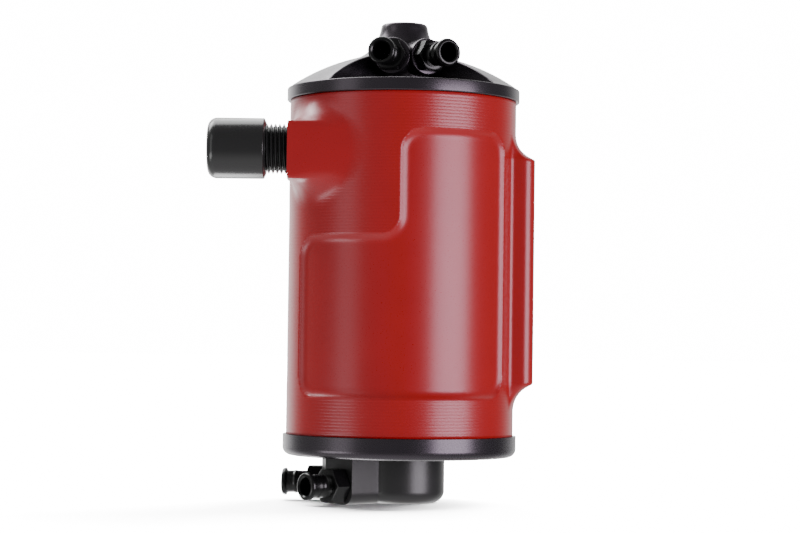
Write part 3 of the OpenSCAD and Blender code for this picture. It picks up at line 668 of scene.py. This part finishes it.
def make_body():
    verts, faces = body_mesh()
    body = make_piece("can_body", verts, faces, RED, 180.0)
    hole = [(0, -20), (PORT_R, -20), (PORT_R, -0.8),
            (PORT_MOUTH_R, 0.02), (PORT_MOUTH_R, 3), (0, 3)]
    v, f = lathe_mesh(hole, 96)
    turn = Matrix.Translation((0, -PORT_Y, 0)) @ along(180, PORT_Z, FACE_X)
    cutters = [make_piece("port_cutter", place(v, turn), f, RED)]
    mouth_r = PAD_HOLE_R + PAD_HOLE_BEVEL
    drill = [(0, -PAD_HOLE_DEEP), (PAD_HOLE_R, -PAD_HOLE_DEEP), (PAD_HOLE_R, -PAD_HOLE_BEVEL),
             (mouth_r, 0.01), (mouth_r, 2), (0, 2)]
    v, f = lathe_mesh(drill, 48)
    for height in PAD_HOLES:
        cutters.append(make_piece("pad_cutter", place(v, along(0, height, PAD_X)), f, RED))
    cut_away(body, cutters)
    smooth_by_angle(body, 62.0)
    return stand_for(body, "body")


make_body()


# ---------------------------------------------------------------- lid
# radius of the rim, its lower and upper edge, the hub's top
END_R, LID_Z, RIM_Z, HUB_Z = 51.0, 175.0, 180.0, 209.4
# the dome's arc, the flare that leads up from it, and the hub
DOME_R, FLARE_R, HUB_R, HUB_ROUND = 88.0, 17.0, 10.2, 1.5
DOME_Z = RIM_Z - math.sqrt(DOME_R ** 2 - END_R ** 2)
FLARE_X = HUB_R + FLARE_R
FLARE_Z = DOME_Z + math.sqrt((DOME_R + FLARE_R) ** 2 - FLARE_X ** 2)
MEET_R = FLARE_X * DOME_R / (DOME_R + FLARE_R)
# the notch: its neck, its floor, and its two walls as lines at a distance from the axis
NECK_R, NOTCH_Z, NOTCH_OFFSET = 13.5, 180.3, 1.8
NOTCH_LEFT, NOTCH_RIGHT = 143.0, 47.0
# the two ports: height, distance of their faces from the axis, boss, directions from +X
TOP_PORT_Z, TOP_FACE, TOP_BOSS_R = 193.2, 20.5, 8.0
LEFT_TOP, RIGHT_TOP = -105.0, -60.0
TOP_BORE_R, THREAD_BORE_R, THREAD_DEEP, MOUTH_R, MOUTH_DEEP = 3.9, 5.2, 6.8, 6.2, 1.05
# the spigot below the rim with its seal's groove, and the chambers inside
SPIGOT_R, GROOVE_R, SPIGOT_BORE = 45.9, 43.5, 42.3
GROOVE_HIGH, GROOVE_LOW, SPIGOT_LOW, SPIGOT_BEVEL = 173.8, 171.2, 164.0, 0.4
CEILING_Z, TUBE_SOCKET_R, SOCKET_Z, CHAMBER_R, CHAMBER_Z = 175.8, 8.1, 183.8, 5.5, 198.7
BEVEL = 0.35
RIM_ROUND = 0.45            # width of the rounded edge of the rim
AROUND, ACROSS = 200, 72    # points round the dome, and round the notch


def lid_height(r):
    """Height of the dome, or of the flare inside it."""
    if r < MEET_R:
        return FLARE_Z - math.sqrt(FLARE_R ** 2 - (FLARE_X - r) ** 2)
    return DOME_Z + math.sqrt(DOME_R ** 2 - r ** 2)


def lid_angles(r):
    """Angles round one ring: the dome from the notch's right wall to its left, then the notch."""
    swing = math.degrees(math.acos(NOTCH_OFFSET / max(r, NECK_R)))
    right, left = NOTCH_RIGHT - swing, NOTCH_LEFT + swing
    edge = math.degrees(BEVEL / max(r, NECK_R))
    inner = [right + edge + (left - right - 2 * edge) * k / (AROUND - 2)
             for k in range(AROUND - 1)]
    front = [left + (right + 360 - left) * k / ACROSS for k in range(1, ACROSS)]
    return [math.radians(a) for a in [right] + inner + [left] + front]


def lid_mesh():
    """The lid without its ports, as rings of points from the hub outwards, down and in again."""
    verts, faces = [], []
    count = AROUND + ACROSS
    everything = range(count)
    outer, front = range(AROUND), range(AROUND, count)

    def ring(r, heights, which=everything):
        angles = lid_angles(r)
        out = {}
        for j in which:
            z = heights(j) if callable(heights) else heights
            out[j % count] = len(verts)
            verts.append((r * math.cos(angles[j % count]), r * math.sin(angles[j % count]), z))
        return out

    def band(low, high, span):
        for j in span:
            faces.append((low[j], low[(j + 1) % count], high[(j + 1) % count], high[j]))

    # top of the hub down to the neck
    flat_r = HUB_R - HUB_ROUND
    profile = [(4.0, HUB_Z), (flat_r, HUB_Z)]
    profile += [(flat_r + HUB_ROUND * math.sin(a), HUB_Z - HUB_ROUND * (1 - math.cos(a)))
                for a in (math.pi / 8 * k for k in range(1, 5))]
    start = math.asin((FLARE_Z - HUB_Z + HUB_ROUND + 0.4) / FLARE_R)
    stop = math.acos((FLARE_X - NECK_R + BEVEL) / FLARE_R)
    profile += [(FLARE_X - FLARE_R * math.cos(a), FLARE_Z - FLARE_R * math.sin(a))
                for a in (start + (stop - start) * k / 8 for k in range(9))]
    hub = len(verts)
    verts.append((0.0, 0.0, HUB_Z))
    low = ring(*profile[0])
    for j in everything:
        faces.append((hub, low[j], low[(j + 1) % count]))
    for r, z in profile[1:]:
        high = ring(r, z)
        band(low, high, everything)
        low = high
    # the neck's edge, where the notch begins
    top = lid_height(NECK_R)
    upper = ring(NECK_R, lambda j: top if 0 < j < AROUND else top - BEVEL)
    band(low, upper, everything)
    floor = ring(NECK_R, NOTCH_Z, range(AROUND, count + 1))
    for j in front:
        faces.append((upper[j], upper[(j + 1) % count], floor[(j + 1) % count], floor[j]))
    radii = [NECK_R + (MEET_R - NECK_R) * k / 8 for k in range(1, 8)]
    radii += [MEET_R + (END_R - RIM_ROUND - MEET_R) * k / 14 for k in range(14)]
    for r in radii:
        z = lid_height(r)
        drop = min(BEVEL, max(0.0, (z - NOTCH_Z) / 2))
        up = ring(r, lambda j: z if 0 < j < AROUND else z - drop, range(AROUND + 1))
        down = ring(r, NOTCH_Z, range(AROUND, count + 1))
        band(upper, up, outer)
        band(floor, down, front)
        for j in (0, AROUND):
            faces.append((upper[j], up[j], down[j], floor[j]))
        upper, floor = up, down
    # the rim's upper edge closes the notch, then the rim, the spigot and the inside
    low = ring(END_R - RIM_ROUND, NOTCH_Z)
    band(upper, low, outer)
    band(floor, low, front)
    for j in (0, AROUND):
        faces.append((upper[j], low[j], floor[j]))
    below = [(END_R - 0.26, RIM_Z + 0.25), (END_R - 0.13, RIM_Z + 0.13),
             (END_R - 0.04, RIM_Z - 0.04), (END_R, RIM_Z - 0.25),
             (END_R, LID_Z + 0.3), (END_R - 0.3, LID_Z),
             (SPIGOT_R, LID_Z), (SPIGOT_R, GROOVE_HIGH), (GROOVE_R, GROOVE_HIGH),
             (GROOVE_R, GROOVE_LOW), (SPIGOT_R, GROOVE_LOW),
             (SPIGOT_R, SPIGOT_LOW + SPIGOT_BEVEL), (SPIGOT_R - SPIGOT_BEVEL, SPIGOT_LOW),
             (SPIGOT_BORE, SPIGOT_LOW), (SPIGOT_BORE, CEILING_Z),
             (TUBE_SOCKET_R, CEILING_Z), (TUBE_SOCKET_R, SOCKET_Z),
             (CHAMBER_R, SOCKET_Z), (CHAMBER_R, CHAMBER_Z)]
    for r, z in below:
        high = ring(r, z)
        band(low, high, everything)
        low = high
    centre = len(verts)
    verts.append((0.0, 0.0, CHAMBER_Z))
    for j in everything:
        faces.append((centre, low[(j + 1) % count], low[j]))
    return verts, faces


def make_lid():
    verts, faces = lid_mesh()
    lid = make_piece("lid_top", verts, faces, BLACK)
    face_outwards(lid)
    bosses, bores = [], []
    for azimuth in (LEFT_TOP, RIGHT_TOP):
        boss = rounded([(0, 6.0, 0), (TOP_BOSS_R, 6.0, 0), (TOP_BOSS_R, TOP_FACE, 0.5),
                        (0, TOP_FACE, 0)], 3)
        v, f = lathe_mesh(boss, 96)
        bosses.append(make_piece("boss", place(v, along(azimuth, TOP_PORT_Z, 0)), f, BLACK))
        thread_from, mouth_from = TOP_FACE - THREAD_DEEP, TOP_FACE - MOUTH_DEEP
        hole = [(0, 1.0), (TOP_BORE_R, 1.0), (TOP_BORE_R, thread_from),
                (THREAD_BORE_R, thread_from), (THREAD_BORE_R, mouth_from),
                (MOUTH_R, mouth_from), (MOUTH_R, TOP_FACE + 2), (0, TOP_FACE + 2)]
        v, f = lathe_mesh(hole, 64)
        bores.append(make_piece("bore", place(v, along(azimuth, TOP_PORT_Z, 0)), f, BLACK))
    cut_away(lid, bosses, "UNION")
    cut_away(lid, bores)
    smooth_by_angle(lid, 40.0)
    return stand_for(lid, "lid")


make_lid()


# ---------------------------------------------------------------- side plug
THREAD_R, THREAD_DEPTH, THREAD_PITCH = 10.65, 1.4, 1.814
# where each flank of a thread begins, as a share of the pitch: root, crest
THREAD_FLANKS = ((0.0, 0), (0.06, 0), (0.46, 1), (0.58, 1))
# radius of the head; distances from the can's axis of the thread's inner end, the head, its tip
PLUG_R, PLUG_IN, PLUG_HEAD, PLUG_TIP = 13.0, 37.6, 58.2, 83.2
PLUG_ROUND = 4.0            # radius of the head's outer edge
PLUG_CHAMFER, PLUG_CHAMFER_L = 2.0, 0.9


def thread_solid(radius, depth, pitch, low, high, steps=96):
    """A closed helical thread along Z that runs a little past both heights."""
    shape = [(share, radius if crest else radius - depth) for share, crest in THREAD_FLANKS]
    rows_per_turn = len(shape)
    turns = int(math.ceil((high - low) / pitch)) + 2
    verts, faces = [], []
    rows = turns * rows_per_turn + 1
    for i in range(rows):
        share, r = shape[i % rows_per_turn]
        for j in range(steps):
            a = 2 * math.pi * j / steps
            verts.append((r * math.cos(a), r * math.sin(a),
                          low - 1.5 * pitch + pitch * (i // rows_per_turn + share + j / steps)))

    def at(i, j):
        return i * steps + j if j < steps else (i + rows_per_turn) * steps

    for i in range(rows - 1):
        for j in range(steps):
            if j == steps - 1 and i + 1 + rows_per_turn >= rows:
                continue
            faces.append((at(i, j), at(i, j + 1), at(i + 1, j + 1), at(i + 1, j)))
    bottom = [at(0, j) for j in range(steps)] + [at(i, 0) for i in range(rows_per_turn, 0, -1)]
    last = rows - 1
    top = [at(last, j) for j in range(steps)]
    top += [at(i, steps - 1) for i in range(last - 1, last - rows_per_turn - 1, -1)]
    for loop, z in ((bottom, low - 1.5 * pitch), (top, low + pitch * (turns - 0.5))):
        centre = len(verts)
        verts.append((0.0, 0.0, z))
        for k in range(len(loop)):
            faces.append((centre, loop[k], loop[(k + 1) % len(loop)]))
    return verts, faces


def make_plug():
    turn = Matrix.Translation((0, -PORT_Y, 0)) @ along(180, PORT_Z, 0)
    v, f = thread_solid(THREAD_R, THREAD_DEPTH, THREAD_PITCH, PLUG_IN, PLUG_HEAD)
    plug = make_piece("plug_screw", place(v, turn), f, PLUG_BLACK)
    face_outwards(plug)
    core = [(0, PLUG_IN), (THREAD_R - 1.6, PLUG_IN), (THREAD_R + 0.2, PLUG_IN + 1.8),
            (THREAD_R + 0.2, PLUG_HEAD + 0.6), (0, PLUG_HEAD + 0.6)]
    v, f = lathe_mesh(core, 96)
    cut_away(plug, [make_piece("envelope", place(v, turn), f, PLUG_BLACK)], "INTERSECT")
    head = rounded([(0, PLUG_HEAD, 0), (PLUG_R - PLUG_CHAMFER, PLUG_HEAD, 0.2),
                    (PLUG_R, PLUG_HEAD + PLUG_CHAMFER_L, 0.4),
                    (PLUG_R, PLUG_TIP, PLUG_ROUND), (0, PLUG_TIP, 0)], 10)
    v, f = lathe_mesh(head, 160)
    cut_away(plug, [make_piece("head", place(v, turn), f, PLUG_BLACK)], "UNION")
    smooth_by_angle(plug, 35.0)
    return stand_for(plug, "side_plug", "plug")


make_plug()


# ---------------------------------------------------------------- hose nipples
TUBE_R, NIPPLE_BORE, BEAD_R = 4.85, 3.9, 6.0
NIPPLE_THREAD = 6.5         # length of thread in the port
RIDGE_BACK = 6.8            # from the tip back to the ridge on the tube
# hexagon across its flats and along the axis, tube's length, radii of the thread and the ridge
TOP_SIZES = (12.7, 5.5, 12.4, 5.1, 5.5)
DRAIN_SIZES = (14.3, 7.4, 11.4, 5.5, 5.1)
DRAIN_Z, DRAIN_FACE = 8.0, 32.5


def make_nipple(node, azimuth, height, start, sizes):
    hex_af, hex_len, tube_len, thread_r, ridge_r = sizes
    thread_len = NIPPLE_THREAD
    tip = hex_len + tube_len
    ridge = tip - RIDGE_BACK
    outline = rounded([
        (NIPPLE_BORE, -thread_len, 0), (thread_r - 0.5, -thread_len, 0),
        (thread_r, 0.5 - thread_len, 0), (thread_r, 0.4, 0),
        (TUBE_R, 0.4, 0), (TUBE_R, ridge, 0.25),
        (ridge_r, ridge + 0.3, 0.15), (ridge_r, ridge + 0.9, 0.2), (TUBE_R, ridge + 1.6, 0.4),
        (TUBE_R, tip - 2.4, 0.3), (BEAD_R, tip - 1.9, 0.3), (BEAD_R, tip, 1.25),
        (NIPPLE_BORE + 0.6, tip, 0.1), (NIPPLE_BORE, tip - 0.6, 0)], 5)
    turn = along(azimuth, height, start)
    v, f = lathe_mesh(outline, 96, True)
    nipple = make_piece(node.replace("nipple", "hose_end"), place(v, turn), f, NIPPLE_BLACK)
    corner = hex_af / math.sqrt(3)
    ring = [(corner * math.cos(a), corner * math.sin(a))
            for a in (math.radians(60 * k) for k in range(6))]
    v = [(x, y, z) for z in (0.0, hex_len) for x, y in ring]
    f = [tuple(range(5, -1, -1)), tuple(range(6, 12))]
    f += [(k, (k + 1) % 6, 6 + (k + 1) % 6, 6 + k) for k in range(6)]
    nut = make_piece("nut", place(v, turn), f, NIPPLE_BLACK)
    flat = hex_af / 2
    lift = (corner + 0.1 - flat + 0.25) * 0.5
    cone = [(0, 0), (flat - 0.1, 0), (corner + 0.1, lift), (corner + 0.1, hex_len - lift),
            (flat - 0.25, hex_len), (0, hex_len)]
    v, f = lathe_mesh(cone, 96)
    cut_away(nut, [make_piece("cone", place(v, turn), f, NIPPLE_BLACK)], "INTERSECT")
    bore = [(0, -1), (TUBE_R - 0.3, -1), (TUBE_R - 0.3, hex_len + 1), (0, hex_len + 1)]
    v, f = lathe_mesh(bore, 96)
    cut_away(nut, [make_piece("hole", place(v, turn), f, NIPPLE_BLACK)])
    cut_away(nipple, [nut], "UNION")
    smooth_by_angle(nipple, 32.0)
    return stand_for(nipple, node)


make_nipple("left_top_nipple", LEFT_TOP, TOP_PORT_Z, TOP_FACE, TOP_SIZES)
make_nipple("right_top_nipple", RIGHT_TOP, TOP_PORT_Z, TOP_FACE, TOP_SIZES)
make_nipple("front_drain_nipple", 219.0, DRAIN_Z, DRAIN_FACE, DRAIN_SIZES)
make_nipple("rear_drain_nipple", 174.0, DRAIN_Z, DRAIN_FACE, DRAIN_SIZES)


# ---------------------------------------------------------------- floor and light
BACKDROP, FLOOR = 16.0, 22.0    # brightness to the camera of the backdrop and of the lit floor
FLOOR_PALE = 0.9                # share of light that the floor returns
FLOOR_SOFT = 46                 # width of the floor's two lights in degrees


def make_floor():
    """A round floor that only the camera sees, with lights of its own."""
    bm = bmesh.new()
    bmesh.ops.create_circle(bm, cap_ends=True, segments=96, radius=12.0)
    mesh = bpy.data.meshes.new("floor")
    bm.to_mesh(mesh)
    bm.free()
    floor = bpy.data.objects.new("floor", mesh)
    scene.collection.objects.link(floor)
    mat, nodes, links, shader = new_material("pale_floor")
    vec = scaled_coords(nodes, links)
    cloud = noise(nodes, links, vec, 8.0)
    links.new(mix_colour(nodes, links, cloud, (0.89, 0.89, 0.89), (0.90, 0.90, 0.90)),
              shader.inputs["Base Color"])
    shader.inputs["Roughness"].default_value = 0.9
    mesh.materials.append(mat)
    floor.visible_diffuse = False
    floor.visible_shadow = False
    floor.visible_glossy = False
    return floor


def make_world():
    """Dim in front of the object, bright behind it and above and below, white to the camera."""
    world = bpy.data.worlds.new("studio")
    world.use_nodes = True
    nodes = world.node_tree.nodes
    links = world.node_tree.links
    where = nodes.new("ShaderNodeTexCoord")
    split = nodes.new("ShaderNodeSeparateXYZ")
    links.new(where.outputs["Generated"], split.inputs[0])

    def smooth(value, from_low, from_high, low, high):
        node = nodes.new("ShaderNodeMapRange")
        node.interpolation_type = "SMOOTHSTEP"
        node.inputs["From Min"].default_value = from_low
        node.inputs["From Max"].default_value = from_high
        node.inputs["To Min"].default_value = low
        node.inputs["To Max"].default_value = high
        links.new(value, node.inputs["Value"])
        return node.outputs["Result"]

    behind = smooth(split.outputs["Y"], 0.45, 1.0, 0.25, 2.2)
    side = smooth(split.outputs["X"], -0.4, 0.4, 1.3, 0.6)
    steep = smooth(split.outputs["Z"], 0.25, 0.9, 0.0, 1.6)
    table = smooth(split.outputs["Z"], -0.9, -0.2, 0.8, 0.0)
    back_half = smooth(split.outputs["Y"], -0.1, 0.4, 0.0, 1.0)
    extra = calc(nodes, links, "MULTIPLY", steep, back_half)
    total = calc(nodes, links, "ADD", calc(nodes, links, "MULTIPLY", behind, side),
                 calc(nodes, links, "ADD", extra, table))
    path = nodes.new("ShaderNodeLightPath")
    mix = nodes.new("ShaderNodeMix")
    links.new(path.outputs["Is Camera Ray"], mix.inputs["Factor"])
    links.new(total, mix.inputs["A"])
    mix.inputs["B"].default_value = BACKDROP
    back = nodes["Background"]
    links.new(mix.outputs["Result"], back.inputs["Strength"])
    back.inputs["Color"].default_value = (1.0, 1.0, 1.0, 1.0)
    scene.world = world


def area_light(name, azimuth, distance, height, size, power, colour=(1, 1, 1),
               target=(0, 0, 0.1)):
    """A soft box; azimuth in degrees right of the front, seen from the object."""
    data = bpy.data.lights.new(name, "AREA")
    data.shape = "RECTANGLE"
    data.size, data.size_y = size
    data.energy = power
    data.color = colour
    lamp = bpy.data.objects.new(name, data)
    scene.collection.objects.link(lamp)
    a = math.radians(azimuth)
    spot = Vector((math.sin(a) * distance, -math.cos(a) * distance, height))
    aim = (Vector(target) - spot).to_track_quat("-Z", "Y")
    lamp.matrix_world = Matrix.Translation(spot) @ aim.to_matrix().to_4x4()


def floor_lights(floor):
    """Light from behind on the right and the left, for the floor alone."""
    only = bpy.data.collections.new("lit_floor")
    only.objects.link(floor)
    for name, back, tilt, share in (("floor_right", 35, 45, 0.65), ("floor_left", 38, -20, 0.35)):
        back, tilt = math.radians(back), math.radians(tilt)
        data = bpy.data.lights.new(name, "SUN")
        data.energy = share * FLOOR * math.pi / FLOOR_PALE / (math.cos(back) * math.cos(tilt))
        data.angle = math.radians(FLOOR_SOFT)
        lamp = bpy.data.objects.new(name, data)
        lamp.rotation_euler = (-back, tilt, 0.0)
        scene.collection.objects.link(lamp)
        lamp.light_linking.receiver_collection = only


floor_lights(make_floor())
make_world()
area_light("softbox_right", 52, 1.1, 0.10, (0.75, 0.6), 13.0, (0.98, 0.91, 1.0))
area_light("softbox_left", -57, 1.2, 0.35, (0.5, 1.2), 2.3)
area_light("softbox_top", -150, 0.6, 1.2, (0.9, 0.9), 13.0)
area_light("high_card", -120, 0.8, 0.9, (0.5, 0.5), 7.0)
area_light("low_card", -65, 0.9, -0.25, (0.5, 0.25), 2.0, target=(0, 0, 0.01))
area_light("back_card", -160, 0.55, -0.5, (0.2, 0.4), 2.0, target=(-0.07, 0, 0.15))
